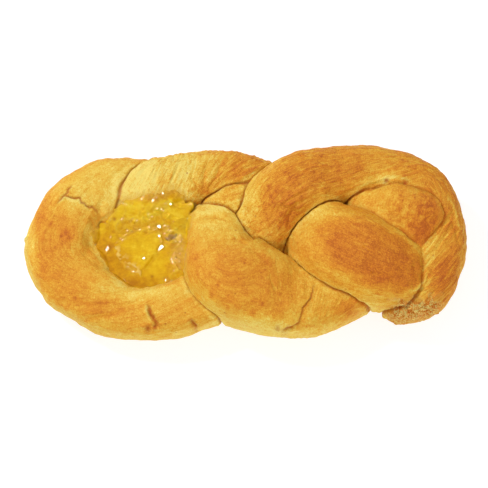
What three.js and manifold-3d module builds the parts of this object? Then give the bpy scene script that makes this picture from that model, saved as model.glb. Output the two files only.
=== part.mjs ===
// A small plaited sweet bread: one rope of dough laid as a ring, twisted over itself into a plait
// and tucked away, with a pool of yellow jam in the hollow of the ring.
// Millimetres, +Z up. The origin is on the base under the middle of the loaf, the length along X.
// The knots of the ropes are measured from a point close to it, and the whole is centred at the end.

import * as THREE from 'three';
import { mergeVertices } from 'three/addons/utils/BufferGeometryUtils.js';
import Module from 'manifold-3d';

// The middle of the finished loaf, seen from above, from where the knots are measured
const boxMiddle = [0.7, 1.1];

// Heights of the middle of the rope above the base
const lying = 12;        // a run that lies on the base
const sunk = 9;          // an end pushed under its neighbour
const crossing = 18;     // a run that lies over another

// Section of the rope
const sectionPower = 2.8;      // 2 is an ellipse, more is squarer
const baseReach = 1.15;        // how far the section reaches below the base, so that it rests on a flat
const capShare = 0.8;          // length of a rounded end, as a share of the half width there

// Fineness of the skin
const sidesAround = 26;
const stepAlong = 4.6;
const capSteps = 5;
const slabSides = 40;

// The ring at the left end
const ringCentre = [-50, -1];
const ringRadii = [32.5, 30.5];

// The bow at the right end
const bowCentre = [61.5, 1];
const bowRadii = [24, 30];

// The hollow in the ring and the jam in it
const hollowCentre = [-45, -3];
const hollowFloorRadii = [31, 27];
const hollowFloor = 8;
const jamRadii = [31, 24];
const jamLevel = 16.5;
const jamClimb = 0.5;          // slope of the jam up the tucked end, behind the line below
const jamClimbFrom = 4;
const jamClimbMost = 5.5;
const jamLumps = 0.7;
const jamRings = 9;
const jamSpokes = 44;
const gap = 0.3;
const gapAllowance = 0.45;     // growth of the ropes that leaves the gap on their slopes too

// A thin slab that closes the underside between the ropes
const soleCentre = [30, 0];
const soleRadii = [54, 25];
const soleHeight = 4;

// Dough that fills the plait under its ropes: middle, radii across the base, height
const webs = [
  { at: [21, 1], radii: [16, 14], height: 17 },
  { at: [20, -10], radii: [13, 9], height: 14 },
  { at: [44, 16], radii: [15, 10], height: 16 },
  { at: [57, 12], radii: [13, 12], height: 15 },
  { at: [-2, 10], radii: [16, 12], height: 13 },
  { at: [-18, 12], radii: [10, 10], height: 13 },
  { at: [-10, -8], radii: [14, 14], height: 12 },
  { at: [72, -6], radii: [14, 14], height: 12 },
  { at: [-72, -12], radii: [17, 16], height: 23 },
  { at: [-75, 4], radii: [16, 14], height: 22 },
  { at: [36, -16], radii: [16, 9], height: 23 },
  { at: [-62, 16], radii: [11, 11], height: 22 },
  { at: [-19, 17], radii: [7, 7], height: 18 },
  { at: [-20, 22], radii: [18, 12], height: 12 },
];

const crustColour = 0xd9933b;
const jamColour = 0xdfa824;

// A knot of a rope: its place on the base, the height of its middle and its half width.
function knot(x, y, height, half) {
  return { x, y, height, half };
}

// A knot on a round stretch, at an angle in degrees from +X.
function onArc(centre, radii, degrees, height, half) {
  const angle = THREE.MathUtils.degToRad(degrees);
  return knot(centre[0] + radii[0] * Math.cos(angle), centre[1] + radii[1] * Math.sin(angle), height, half);
}

// The runs of the rope. lift is the height of the section over its half width.
const ropes = {
  ring: {
    lift: 0.9,
    knots: [
      onArc(ringCentre, ringRadii, 62, 7, 10),
      knot(-53.5, 30, 9.5, 12.3),
      onArc(ringCentre, ringRadii, 135, lying, 14),
      knot(-82.8, 2.5, lying, 14.5),
      onArc(ringCentre, ringRadii, 203, lying, 14.6),
      knot(-64, -26, lying, 13),
      knot(-49.5, -31.5, lying, 11.5),
      knot(-34, -30.5, lying, 12),
      knot(-18, -24.5, 11, 12.8),
      knot(-9, -18, 10, 11.5),
    ],
  },
  middle: {
    lift: 0.95,
    knots: [
      knot(-16.5, 18.5, 13, 9.5),
      knot(-13, 4, 16, 12.8),
      knot(-7.5, -13.5, 19, 18.8),
      knot(8, -22.5, 17.5, 18.5),
      knot(23, -27, 14, 15.5),
      knot(38, -23.5, lying, 14.5),
      knot(56, -11, 11, 15),
      knot(68, 1, 13, 16),
      knot(72.5, 12, 17.5, 17),
      knot(77, 25.5, 17.5, 17),
    ],
  },
  bow: {
    lift: 1.1,
    knots: [
      knot(-1, -2, sunk, 11),
      knot(7.5, 7, 14, 13),
      knot(15, 18, crossing, 14.5),
      knot(28.5, 26.5, crossing, 14.8),
      knot(45, 31, 15.5, 13.5),
      onArc(bowCentre, bowRadii, 88, 13, 14),
      onArc(bowCentre, bowRadii, 45, lying, 15.1),
      onArc(bowCentre, bowRadii, 14, lying, 14),
      onArc(bowCentre, bowRadii, -16, 11, 13.7),
      knot(77, -19.5, 10, 14),
      knot(60, -26, sunk, 9.5),
    ],
  },
  bridge: {
    lift: 0.92,
    knots: [
      knot(82.5, -18, 14, 13),
      knot(64.5, -13.5, 17.5, 17.8),
      knot(48, -7, 19, 19.8),
      knot(34, 1, 17, 18),
      knot(20.5, 7, lying, 13.5),
    ],
  },
  tucked: {
    lift: 0.95,
    knots: [
      knot(17, 23, 11, 9.5),
      knot(6, 30, 13, 10.5),
      knot(-10, 32.5, 14, 11),
      knot(-25, 30.3, 14, 12),
      knot(-38, 26, 13, 13.5),
      knot(-50, 18, 10, 13),
      knot(-57, 8, 3, 11),
    ],
  },
  bulge: {
    lift: 1.1,
    knots: [
      knot(13, 25.5, 12, 8),
      knot(1, 21.5, 15.5, 7.5),
      knot(-8, 18.5, 15.5, 7.5),
      knot(-20, 17.5, 12, 4.5),
    ],
  },
  shoulder: {
    lift: 1,
    knots: [
      knot(44, 13, 13, 9),
      knot(55, 14, 15, 12.5),
      knot(68, 11, 17, 14),
      knot(80, 5, 15, 13),
    ],
  },
};

// A smooth curve through one vector for each knot.
function smoothThrough(vectors) {
  return new THREE.CatmullRomCurve3(vectors, false, 'catmullrom', 0.5);
}

// Places along a rope, closer together on its rounded ends. Each has its share t of the curve
// and its size, which grows from nothing at the tip to 1 where the rounding ends.
function placesAlong(route, capStart, capEnd) {
  const samples = 400;
  const length = [0];
  const last = route.getPoint(0);
  const next = new THREE.Vector3();
  for (let i = 1; i <= samples; i += 1) {
    route.getPoint(i / samples, next);
    length.push(length[i - 1] + Math.hypot(next.x - last.x, next.y - last.y));
    last.copy(next);
  }
  const whole = length[samples];
  const shareAt = (distance) => {
    const above = Math.max(1, length.findIndex((value) => value >= distance - 1e-9));
    const part = (distance - length[above - 1]) / (length[above] - length[above - 1]);
    return (above - 1 + part) / samples;
  };
  const places = [];
  for (let i = 1; i < capSteps; i += 1) {
    const turn = (i / capSteps) * Math.PI / 2;
    places.push({ t: shareAt(capStart * (1 - Math.cos(turn))), size: Math.sin(turn) });
  }
  const plain = whole - capStart - capEnd;
  const steps = Math.max(2, Math.round(plain / stepAlong));
  for (let i = 0; i <= steps; i += 1) {
    places.push({ t: shareAt(capStart + (plain * i) / steps), size: 1 });
  }
  for (let i = capSteps - 1; i > 0; i -= 1) {
    const turn = (i / capSteps) * Math.PI / 2;
    places.push({ t: shareAt(whole - capEnd * (1 - Math.cos(turn))), size: Math.sin(turn) });
  }
  return places;
}

// The sign-keeping power that turns a circle into the section's outline.
function squarer(value) {
  return Math.sign(value) * Math.abs(value) ** (2 / sectionPower);
}

// One rope of dough as a closed skin, grown by extra on all sides.
function ropeGeometry({ lift, knots }, extra) {
  const route = smoothThrough(knots.map((k) => new THREE.Vector3(k.x, k.y, k.height)));
  const girth = smoothThrough(knots.map((k) => new THREE.Vector3(k.half, 0, 0)));
  const first = knots[0];
  const final = knots[knots.length - 1];
  const places = placesAlong(route, first.half * capShare, final.half * capShare);
  const positions = [];
  for (const { t, size } of places) {
    const middle = route.getPoint(t);
    const heading = route.getTangent(t).setZ(0).normalize();
    const half = girth.getPoint(t).x;
    const up = half * lift;
    const down = Math.max(up, middle.z * baseReach);
    for (let i = 0; i < sidesAround; i += 1) {
      const angle = (2 * Math.PI * i) / sidesAround;
      const sideways = squarer(Math.cos(angle)) * (half * size + extra);
      const rise = squarer(Math.sin(angle));
      const upright = rise * ((rise > 0 ? up : down) * size + extra);
      positions.push(middle.x + heading.y * sideways, middle.y - heading.x * sideways, middle.z + upright);
    }
  }
  for (const [t, back] of [[0, -extra], [1, extra]]) {
    const tip = route.getPoint(t).addScaledVector(route.getTangent(t).setZ(0).normalize(), back);
    positions.push(tip.x, tip.y, tip.z);
  }
  return closedSkin(positions, places.length, sidesAround);
}

// Faces over rings of points, closed by a point at each end, facing out.
function closedSkin(positions, rings, around) {
  const faces = [];
  const startTip = rings * around;
  const endTip = startTip + 1;
  for (let i = 0; i < around; i += 1) {
    const j = (i + 1) % around;
    faces.push(startTip, i, j);
    for (let ring = 0; ring < rings - 1; ring += 1) {
      const here = ring * around;
      const there = here + around;
      faces.push(here + i, there + i, there + j);
      faces.push(here + i, there + j, here + j);
    }
    faces.push(endTip, (rings - 1) * around + j, (rings - 1) * around + i);
  }
  const geometry = new THREE.BufferGeometry();
  geometry.setAttribute('position', new THREE.Float32BufferAttribute(positions, 3));
  geometry.setIndex(faces);
  return geometry;
}

// A low dome of dough on the base, grown by extra on all sides.
function webGeometry({ at, radii, height }, extra) {
  const geometry = new THREE.SphereGeometry(1, 24, 12);
  geometry.rotateX(Math.PI / 2);
  geometry.scale(radii[0] + extra, radii[1] + extra, height + extra);
  geometry.translate(at[0], at[1], 0);
  return geometry;
}

// A flat oval slab whose lower half is under the base.
function slabGeometry(centre, radii, top) {
  const geometry = new THREE.CylinderGeometry(1, 1, 2 * top, slabSides);
  geometry.rotateX(Math.PI / 2);
  geometry.scale(radii[0], radii[1], 1);
  geometry.translate(centre[0], centre[1], 0);
  return geometry;
}

// Height of the jam: level, lumpy, and drawn up the slope of the tucked end.
function jamTop(x, y) {
  const lumps = Math.sin(x * 0.42 + 1.1) * Math.sin(y * 0.5 - 0.4) + 0.5 * Math.sin(x * 0.9 - y * 0.7);
  const climb = Math.min(jamClimbMost, jamClimb * Math.max(0, y - jamClimbFrom));
  return jamLevel + climb + jamLumps * lumps;
}

// A round pool with a lumpy top, wider than the hollow, so that the ropes cut its outline.
function jamGeometry() {
  const bottom = hollowFloor + gap;
  const point = (share, angle) => [
    hollowCentre[0] + jamRadii[0] * share * Math.cos(angle),
    hollowCentre[1] + jamRadii[1] * share * Math.sin(angle),
  ];
  const positions = [];
  for (let ring = 1; ring <= jamRings; ring += 1) {
    for (let i = 0; i < jamSpokes; i += 1) {
      const [x, y] = point(ring / jamRings, (2 * Math.PI * i) / jamSpokes);
      positions.push(x, y, jamTop(x, y));
    }
  }
  for (let i = 0; i < jamSpokes; i += 1) {
    const [x, y] = point(1, (2 * Math.PI * i) / jamSpokes);
    positions.push(x, y, bottom);
  }
  const [x, y] = hollowCentre;
  positions.push(x, y, jamTop(x, y), x, y, bottom);
  return closedSkin(positions, jamRings + 1, jamSpokes);
}

const wasm = await Module();
wasm.setup();

// A closed geometry as a solid for joining and cutting.
function solid(source) {
  const bare = source.clone();
  bare.deleteAttribute('normal');
  bare.deleteAttribute('uv');
  const geometry = mergeVertices(bare);
  const vertProperties = new Float32Array(geometry.attributes.position.array);
  const triVerts = new Uint32Array(geometry.index.array);
  return new wasm.Manifold(new wasm.Mesh({ numProp: 3, vertProperties, triVerts }));
}

// The largest connected piece: loose scraps are dropped and sealed hollows are filled.
function largest(body) {
  return body.decompose().reduce((best, piece) => (piece.volume() > best.volume() ? piece : best));
}

function joined(bodies) {
  return bodies.reduce((sum, body) => sum.add(body));
}

// Everything above the base.
function aboveBase() {
  const size = 400;
  const geometry = new THREE.BoxGeometry(size, size, size);
  geometry.translate(0, 0, size / 2);
  return solid(geometry);
}

function toMesh(name, body, colour, roughness) {
  const { vertProperties, triVerts } = body.getMesh();
  const geometry = new THREE.BufferGeometry();
  geometry.setAttribute('position', new THREE.Float32BufferAttribute(vertProperties, 3));
  geometry.setIndex(Array.from(triVerts));
  geometry.computeVertexNormals();
  const material = new THREE.MeshStandardMaterial({ color: colour, roughness, metalness: 0 });
  const mesh = new THREE.Mesh(geometry, material);
  mesh.name = name;
  return mesh;
}

// All ropes and webs joined, grown by extra on all sides.
function doughSolid(extra) {
  const runs = Object.values(ropes).map((rope) => solid(ropeGeometry(rope, extra)));
  const domes = webs.map((web) => solid(webGeometry(web, extra)));
  return joined([...runs, ...domes]);
}

function loafSolid() {
  const hollowSlab = solid(slabGeometry(hollowCentre, hollowFloorRadii, hollowFloor));
  const sole = solid(slabGeometry(soleCentre, soleRadii, soleHeight));
  return largest(joined([doughSolid(0), hollowSlab, sole]).intersect(aboveBase()));
}

function fillingSolid() {
  return largest(solid(jamGeometry()).subtract(doughSolid(gapAllowance)));
}

const loaf = toMesh('loaf', loafSolid(), crustColour, 0.6);
const filling = toMesh('filling', fillingSolid(), jamColour, 0.15);

const bread = new THREE.Group();
bread.add(loaf, filling);
bread.position.set(-boxMiddle[0], -boxMiddle[1], 0);

export default bread;
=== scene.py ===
"""The looks of a small plaited sweet bread with a pool of yellow jam.

The dough is rebuilt from the same named runs of rope as the solid, as one fine skin, and gets its
lumps, stretch marks, cracks and pores as relief. What the oven did, the brown crust and pale rims, is
worked out from the shape and from a few named patches. Painted shade darkens the creases, folds and
far edges of the ropes, and joins the crack colour in the cracks and pits. The jam is a wet uneven
sheet that fills the hollow and thins out up the dough.
"""

import math

import bpy
import numpy as np
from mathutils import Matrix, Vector
from mathutils.bvhtree import BVHTree


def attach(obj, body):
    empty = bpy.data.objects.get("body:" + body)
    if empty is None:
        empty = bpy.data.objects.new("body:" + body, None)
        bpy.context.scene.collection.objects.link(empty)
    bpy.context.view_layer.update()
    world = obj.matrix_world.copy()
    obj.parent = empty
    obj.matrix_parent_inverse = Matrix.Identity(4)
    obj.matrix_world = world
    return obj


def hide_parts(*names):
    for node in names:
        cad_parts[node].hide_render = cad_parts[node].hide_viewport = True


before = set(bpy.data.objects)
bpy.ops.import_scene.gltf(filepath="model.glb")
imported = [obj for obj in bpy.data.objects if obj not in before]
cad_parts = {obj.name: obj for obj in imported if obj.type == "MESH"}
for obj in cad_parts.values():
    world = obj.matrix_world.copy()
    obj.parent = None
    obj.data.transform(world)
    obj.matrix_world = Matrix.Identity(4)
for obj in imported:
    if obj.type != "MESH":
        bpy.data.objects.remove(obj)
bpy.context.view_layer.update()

# Lengths are in millimetres and become metres where a mesh or the camera is made. The lamps are in metres.
MM = 0.001

# The noise: its seed, and its lattice of random directions
SEED = 11
LATTICE_SIZE = 256
LATTICE_PRIMES = (73856093, 19349663, 83492791)
NOISE_GAIN = 1.6

# The middle of the loaf from where the knots are measured
BOX_MIDDLE = (0.7, 1.1)

# Heights of the middle of the rope above the base
LYING = 12.0
SUNK = 9.0
CROSSING = 18.0

# Section of the rope
SECTION_POWER = 2.8
BASE_REACH = 1.15
CAP_SHARE = 0.8

# Round stretches: centre and radii
RING = ((-50.0, -1.0), (32.5, 30.5))
BOW = ((61.5, 1.0), (24.0, 30.0))

# Slabs under the hollow and the plait, and domes under the crossings: middle, radii and height
HOLLOW_FLOOR = 8.0
SLABS = (((-45.0, -3.0), (31.0, 27.0), HOLLOW_FLOOR), ((30.0, 0.0), (54.0, 25.0), 4.0))
WEBS = (
    ((21, 1), (16, 14), 17), ((20, -10), (13, 9), 14), ((44, 16), (15, 10), 16), ((57, 12), (13, 12), 15),
    ((-2, 10), (16, 12), 13), ((-18, 12), (10, 10), 13), ((-10, -8), (14, 14), 12),
    ((72, -6), (14, 14), 12), ((-72, -12), (17, 16), 23), ((-75, 4), (16, 14), 22),
    ((36, -16), (16, 9), 23), ((-62, 16), (11, 11), 22), ((-19, 17), (7, 7), 18), ((-20, 22), (18, 12), 12),
)

# Fineness of the skin
ROPE_SIDES = 72
ROPE_STEP = 1.3
CAP_RINGS = 9
LINE_SAMPLES = 900
HEADING_REACH = 0.1
DOME_RINGS, DOME_SIDES = 14, 36
SLAB_SIDES = 60
DOUGH_VOXEL = 0.5
JAM_STEP = 0.33
BASE_SNAP = 0.6                 # share of a voxel: what ends this low is set on the base
GROWN_LEAST = 0.02

# Lumps of the ropes: height and size of each layer
ROPE_LUMPS = ((0.55, 13.0), (0.30, 5.5), (0.14, 2.6))
FIRST_ROPE_SEED = 30


def on_arc(arc, degrees, height, half):
    """A knot on a round stretch."""
    (x, y), (across, back) = arc
    angle = math.radians(degrees)
    return (x + across * math.cos(angle), y + back * math.sin(angle), height, half)


# Each knot is its place along and across, the height of its middle, and its half width.
# lift is the height of the section over its half width, streaky how strongly the rope shows its stretch,
# and brown how much more or less it was baked than the others.
ROPES = {
    "ring": dict(lift=0.9, streaky=0.45, brown=0.0, knots=(
        on_arc(RING, 62, 7, 10), (-53.5, 30, 9.5, 12.3),
        on_arc(RING, 135, LYING, 14), (-82.8, 2.5, LYING, 14.5),
        on_arc(RING, 203, LYING, 14.6), (-64, -26, LYING, 13),
        (-49.5, -31.5, LYING, 11.5), (-34, -30.5, LYING, 12), (-18, -24.5, 11, 12.8), (-9, -18, 10, 11.5),
    )),
    "middle": dict(lift=0.95, streaky=0.5, brown=-0.03, knots=(
        (-16.5, 18.5, 13, 9.5), (-13, 4, 16, 12.8), (-7.5, -13.5, 19, 18.8), (8, -22.5, 17.5, 18.5),
        (23, -27, 14, 15.5), (38, -23.5, LYING, 14.5), (56, -11, 11, 15), (68, 1, 13, 16),
        (72.5, 12, 17.5, 17), (77, 25.5, 17.5, 17),
    )),
    "bow": dict(lift=1.1, streaky=0.9, brown=0.06, knots=(
        (-1, -2, SUNK, 11), (7.5, 7, 14, 13), (15, 18, CROSSING, 14.5), (28.5, 26.5, CROSSING, 14.8),
        (45, 31, 15.5, 13.5), on_arc(BOW, 88, 13, 14),
        on_arc(BOW, 45, LYING, 15.1), on_arc(BOW, 14, LYING, 14),
        on_arc(BOW, -16, 11, 13.7), (77, -19.5, 10, 14), (60, -26, SUNK, 9.5),
    )),
    "bridge": dict(lift=0.92, streaky=0.5, brown=0.05, knots=(
        (82.5, -18, 14, 13), (64.5, -13.5, 17.5, 17.8), (48, -7, 19, 19.8), (34, 1, 17, 18),
        (20.5, 7, LYING, 13.5),
    )),
    "tucked": dict(lift=0.95, streaky=1.0, brown=-0.03, knots=(
        (17, 23, 11, 9.5), (6, 30, 13, 10.5), (-10, 32.5, 14, 11), (-25, 30.3, 14, 12), (-38, 26, 13, 13.5),
        (-50, 18, 10, 13), (-57, 8, 3, 11),
    )),
    "bulge": dict(lift=1.1, streaky=0.8, brown=-0.02, knots=(
        (13, 25.5, 12, 8), (1, 21.5, 15.5, 7.5), (-8, 18.5, 15.5, 7.5), (-20, 17.5, 12, 4.5),
    )),
    "shoulder": dict(lift=1.0, streaky=0.4, brown=0.04, knots=(
        (44, 13, 13, 9), (55, 14, 15, 12.5), (68, 11, 17, 14), (80, 5, 15, 13),
    )),
}
ROPE_NAMES = tuple(ROPES)
KNOB_ROPES = (ROPE_NAMES.index("middle"), ROPE_NAMES.index("shoulder"))
STREAKINESS = np.array([rope["streaky"] for rope in ROPES.values()])
ROPE_BROWN = np.array([rope["brown"] for rope in ROPES.values()])


# Small tools

def rise(value, low, high):
    """0 below low, 1 above high and a smooth slope between."""
    share = np.clip((value - low) / (high - low), 0, 1)
    return share * share * (3 - 2 * share)


def hump(distance, reach):
    """1 at no distance, falling softly to nothing over about twice the reach."""
    return np.exp(-(distance / reach) ** 2)


def lattice(rng_seed):
    """Random unit vectors for the noise."""
    rng = np.random.default_rng(rng_seed)
    arrows = rng.normal(size=(LATTICE_SIZE, 3))
    return arrows / np.linalg.norm(arrows, axis=1)[:, None]


def noise(points, cell, seed=0):
    """Smooth unevenness between about -1 and 1, its lumps about as large as the cell."""
    arrows = lattice(SEED + seed)
    scaled = np.asarray(points, float) / cell
    corner = np.floor(scaled).astype(np.int64)
    part = scaled - corner
    blend = part * part * part * (part * (part * 6 - 15) + 10)
    total = np.zeros(len(scaled))
    for step in np.ndindex(2, 2, 2):
        ix, iy, iz = ((corner + step) * LATTICE_PRIMES).T
        pick = ix ^ iy ^ iz
        pick = (pick ^ (pick >> 13)) & (LATTICE_SIZE - 1)
        share = np.where(step, blend, 1 - blend).prod(axis=1)
        total += share * np.einsum("ij,ij->i", arrows[pick], part - step)
    return NOISE_GAIN * total


def layers(points, rows):
    """Several sizes of unevenness at once: a height, a cell and a seed for each."""
    return sum(tall * noise(points, cell, seed) for tall, cell, seed in rows)


def shake(points, amount, cell, seed):
    """Level shifts that make a straight line waver."""
    shifts = [noise(points, cell, seed), noise(points, cell, seed + 1), np.zeros(len(points))]
    return amount * np.column_stack(shifts)


def spot(points, x, y, reach):
    """1 at a place in plan, falling softly to nothing around it."""
    return hump(np.hypot(points[:, 0] - x, points[:, 1] - y), reach)


def tapered(share, sharpness):
    """1 along most of a path, falling to 0 at both of its ends."""
    return np.clip(sharpness * share * (1 - share), 0, 1)


def to_path(points, path):
    """Distance in plan from each point to a line through the path, and how far along it lies."""
    flat = np.asarray(points)[:, :2]
    path = np.asarray(path, float)
    best = np.full(len(flat), 1e9)
    along = np.zeros(len(flat))
    legs = np.linalg.norm(np.diff(path, axis=0), axis=1)
    start = np.concatenate([[0], np.cumsum(legs)])
    for i, leg in enumerate(legs):
        way = (path[i + 1] - path[i]) / leg
        share = np.clip((flat - path[i]) @ way, 0, leg)
        gap = np.linalg.norm(flat - path[i] - share[:, None] * way, axis=1)
        nearer = gap < best
        best[nearer] = gap[nearer]
        along[nearer] = (start[i] + share[nearer]) / start[-1]
    return best, along


# The ropes of dough

def through(knots, share):
    """A smooth curve through the knots, at shares of the way from 0 to 1."""
    knots = np.asarray(knots, float)
    padded = np.vstack([2 * knots[0] - knots[1], knots, 2 * knots[-1] - knots[-2]])
    place = np.clip(np.asarray(share, float), 0, 1) * (len(knots) - 1)
    i = np.minimum(place.astype(int), len(knots) - 2)
    f = (place - i)[:, None]
    a, b, c, d = (padded[i + k] for k in range(4))
    return 0.5 * (2 * b + (c - a) * f + (2 * a - 5 * b + 4 * c - d) * f**2 + (3 * b - a - 3 * c + d) * f**3)


def rope_line(rope, step):
    """Rows along a rope: middle, heading, half width, reach up and down, and size; and its two tips."""
    knots = rope["knots"]
    share = np.linspace(0, 1, LINE_SAMPLES)
    fine = through(knots, share)
    run = np.concatenate([[0], np.cumsum(np.linalg.norm(np.diff(fine[:, :2], axis=0), axis=1))])
    whole = run[-1]
    cap_a, cap_b = knots[0][3] * CAP_SHARE, knots[-1][3] * CAP_SHARE
    turn = np.linspace(0, math.pi / 2, CAP_RINGS, endpoint=False)[1:]
    steps = max(2, round((whole - cap_a - cap_b) / step))
    distance = np.concatenate([
        cap_a * (1 - np.cos(turn)),
        np.linspace(cap_a, whole - cap_b, steps + 1),
        whole - cap_b * (1 - np.cos(turn[::-1])),
    ])
    size = np.concatenate([np.sin(turn), np.ones(steps + 1), np.sin(turn[::-1])])
    rows = through(knots, np.interp(distance, run, share))
    ahead = through(knots, np.interp(distance + HEADING_REACH, run, share))
    behind = through(knots, np.interp(distance - HEADING_REACH, run, share))
    heading = ahead[:, :2] - behind[:, :2]
    heading /= np.linalg.norm(heading, axis=1)[:, None]
    half = rows[:, 3]
    up = half * rope["lift"]
    down = np.maximum(up, rows[:, 2] * BASE_REACH)
    return dict(middle=rows[:, :3], heading=heading, half=half, up=up, down=down, size=size,
                tips=through(knots, [0, 1])[:, :3])


def squarer(value):
    return np.sign(value) * np.abs(value) ** (2 / SECTION_POWER)


def tube_faces(rings, around):
    """Faces over rings of points that are closed by one point at each end."""
    i = np.arange(around)
    j = (i + 1) % around
    faces = []
    for ring in range(rings - 1):
        here, there = ring * around, (ring + 1) * around
        faces += np.column_stack([here + i, there + i, there + j, here + j]).tolist()
    start, end, last = rings * around, rings * around + 1, (rings - 1) * around
    faces += np.column_stack([np.full(around, start), i, j]).tolist()
    faces += np.column_stack([np.full(around, end), last + j, last + i]).tolist()
    return faces


def rope_skin(name):
    """One rope as a closed uneven skin, flattened where it meets the base."""
    rope = ROPES[name]
    line = rope_line(rope, ROPE_STEP)
    angle = np.linspace(0, 2 * math.pi, ROPE_SIDES, endpoint=False)
    sideways = squarer(np.cos(angle))[None] * (line["half"] * line["size"])[:, None]
    lift = squarer(np.sin(angle))[None]
    upright = lift * np.where(lift > 0, line["up"][:, None], line["down"][:, None]) * line["size"][:, None]
    middle, heading = line["middle"], line["heading"]
    x = middle[:, 0:1] + heading[:, 1:2] * sideways
    y = middle[:, 1:2] - heading[:, 0:1] * sideways
    z = middle[:, 2:3] + upright
    points = np.stack([x, y, z], -1).reshape(-1, 3)
    centre = np.repeat(middle, ROPE_SIDES, 0)
    away = points - centre
    away /= np.linalg.norm(away, axis=1)[:, None] + 1e-9
    seed = FIRST_ROPE_SEED + len(ROPE_LUMPS) * ROPE_NAMES.index(name)
    swell = layers(points, [(tall, cell, seed + i) for i, (tall, cell) in enumerate(ROPE_LUMPS)])
    points = points + (swell * np.repeat(line["size"], ROPE_SIDES))[:, None] * away
    points[:, 2] = np.maximum(points[:, 2], 0)
    return np.vstack([points, line["tips"]]), tube_faces(len(middle), ROPE_SIDES)


def oval_edge(centre, radii, angle):
    return np.column_stack([centre[0] + radii[0] * np.cos(angle), centre[1] + radii[1] * np.sin(angle)])


def dome_skin(centre, radii, height):
    """A low dome of dough that stands on the base."""
    tilt = np.linspace(0, math.pi / 2, DOME_RINGS, endpoint=False)[1:]
    angle = np.linspace(0, 2 * math.pi, DOME_SIDES, endpoint=False)
    x = centre[0] + radii[0] * np.sin(tilt)[:, None] * np.cos(angle)
    y = centre[1] + radii[1] * np.sin(tilt)[:, None] * np.sin(angle)
    z = np.repeat(height * np.cos(tilt)[:, None], DOME_SIDES, 1)
    rim = np.column_stack([oval_edge(centre, radii, angle), 0 * angle])
    ends = [(*centre, height), (*centre, 0)]
    points = np.vstack([np.stack([x, y, z], -1).reshape(-1, 3), rim, ends])
    return points, tube_faces(DOME_RINGS, DOME_SIDES)


def slab_skin(centre, radii, height):
    """A flat oval slab on the base."""
    angle = np.linspace(0, 2 * math.pi, SLAB_SIDES, endpoint=False)
    edge = oval_edge(centre, radii, angle)
    top = np.column_stack([edge, np.full(SLAB_SIDES, height)])
    bottom = np.column_stack([edge, np.zeros(SLAB_SIDES)])
    ends = [(*centre, height), (*centre, 0)]
    return np.vstack([top, bottom, ends]), tube_faces(2, SLAB_SIDES)


def centred(points):
    """From millimetres, measured as the knots are, to metres, centred as the solid is."""
    return (np.asarray(points) - (*BOX_MIDDLE, 0)) * MM


def add_thing(name, data):
    thing = bpy.data.objects.new(name, data)
    bpy.context.scene.collection.objects.link(thing)
    return thing


def make_mesh(name, points, faces):
    """A mesh object from points in millimetres."""
    mesh = bpy.data.meshes.new(name)
    mesh.from_pydata(centred(points).tolist(), [], [tuple(f) for f in faces])
    mesh.validate()
    mesh.update()
    return add_thing(name, mesh)


def apply_modifiers(thing):
    """Bakes the modifiers of an object into a new mesh."""
    graph = bpy.context.evaluated_depsgraph_get()
    new = bpy.data.meshes.new_from_object(thing.evaluated_get(graph))
    old = thing.data
    thing.modifiers.clear()
    thing.data = new
    bpy.data.meshes.remove(old)


def read_vertices(mesh, part):
    flat = np.empty(len(mesh.vertices) * 3)
    mesh.vertices.foreach_get(part, flat)
    return flat.reshape(-1, 3)


def read_points(mesh):
    """Vertices in millimetres, measured as the knots are."""
    return read_vertices(mesh, "co") / MM + (*BOX_MIDDLE, 0)


def write_points(mesh, points):
    mesh.vertices.foreach_set("co", centred(points).ravel())
    mesh.update()


def keep_values(mesh, name, values, kind="FLOAT", part="value"):
    """Stores one number, or one vector, for each vertex, which the materials read by name."""
    layer = mesh.attributes.new(name, kind, "POINT")
    layer.data.foreach_set(part, np.asarray(values, np.float32).ravel())


def add_smoothing(thing, name, factor, times, group=""):
    smooth = thing.modifiers.new(name, "SMOOTH")
    smooth.factor = factor
    smooth.iterations = times
    smooth.vertex_group = group


def fused_dough():
    """All ropes, domes and slabs as one even skin, with the closed-up borders smoothed over."""
    skins = [rope_skin(name) for name in ROPES]
    skins += [dome_skin(*web) for web in WEBS]
    skins += [slab_skin(*slab) for slab in SLABS]
    points, faces, count = [], [], 0
    for some, more in skins:
        points.append(some)
        faces += [[v + count for v in face] for face in more]
        count += len(some)
    dough = make_mesh("dough", np.vstack(points), faces)
    remesh = dough.modifiers.new("even skin", "REMESH")
    remesh.mode = "VOXEL"
    remesh.voxel_size = DOUGH_VOXEL * MM
    add_smoothing(dough, "soft skin", factor=0.5, times=1)
    apply_modifiers(dough)
    shares = grown_together(read_points(dough.data))
    group = dough.vertex_groups.new(name="grown")
    for i in np.flatnonzero(shares > GROWN_LEAST):
        group.add([int(i)], float(shares[i]), "REPLACE")
    add_smoothing(dough, "grown borders", factor=0.6, times=14, group="grown")
    apply_modifiers(dough)
    dough.vertex_groups.clear()
    points = read_points(dough.data)
    points[:, 2] = np.where(points[:, 2] < BASE_SNAP * DOUGH_VOXEL, 0, points[:, 2])
    write_points(dough.data, points)
    return dough


# Where each point of the dough lies on its rope

def rope_places(points):
    """The rope each point belongs to, and how much farther off the skin of the next rope is."""
    gaps = np.empty((len(points), len(ROPES)))
    for k, name in enumerate(ROPES):
        skin, faces = rope_skin(name)
        tree = BVHTree.FromPolygons(skin.tolist(), faces)
        gaps[:, k] = [tree.find_nearest(p)[3] for p in points]
    owner = gaps.argmin(1)
    middle, shoulder = KNOB_ROPES
    gaps[:, middle] = np.minimum(gaps[:, middle], gaps[:, shoulder])
    gaps[:, shoulder] = np.inf
    gaps.sort(1)
    return owner, gaps[:, 1] - gaps[:, 0]


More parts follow.
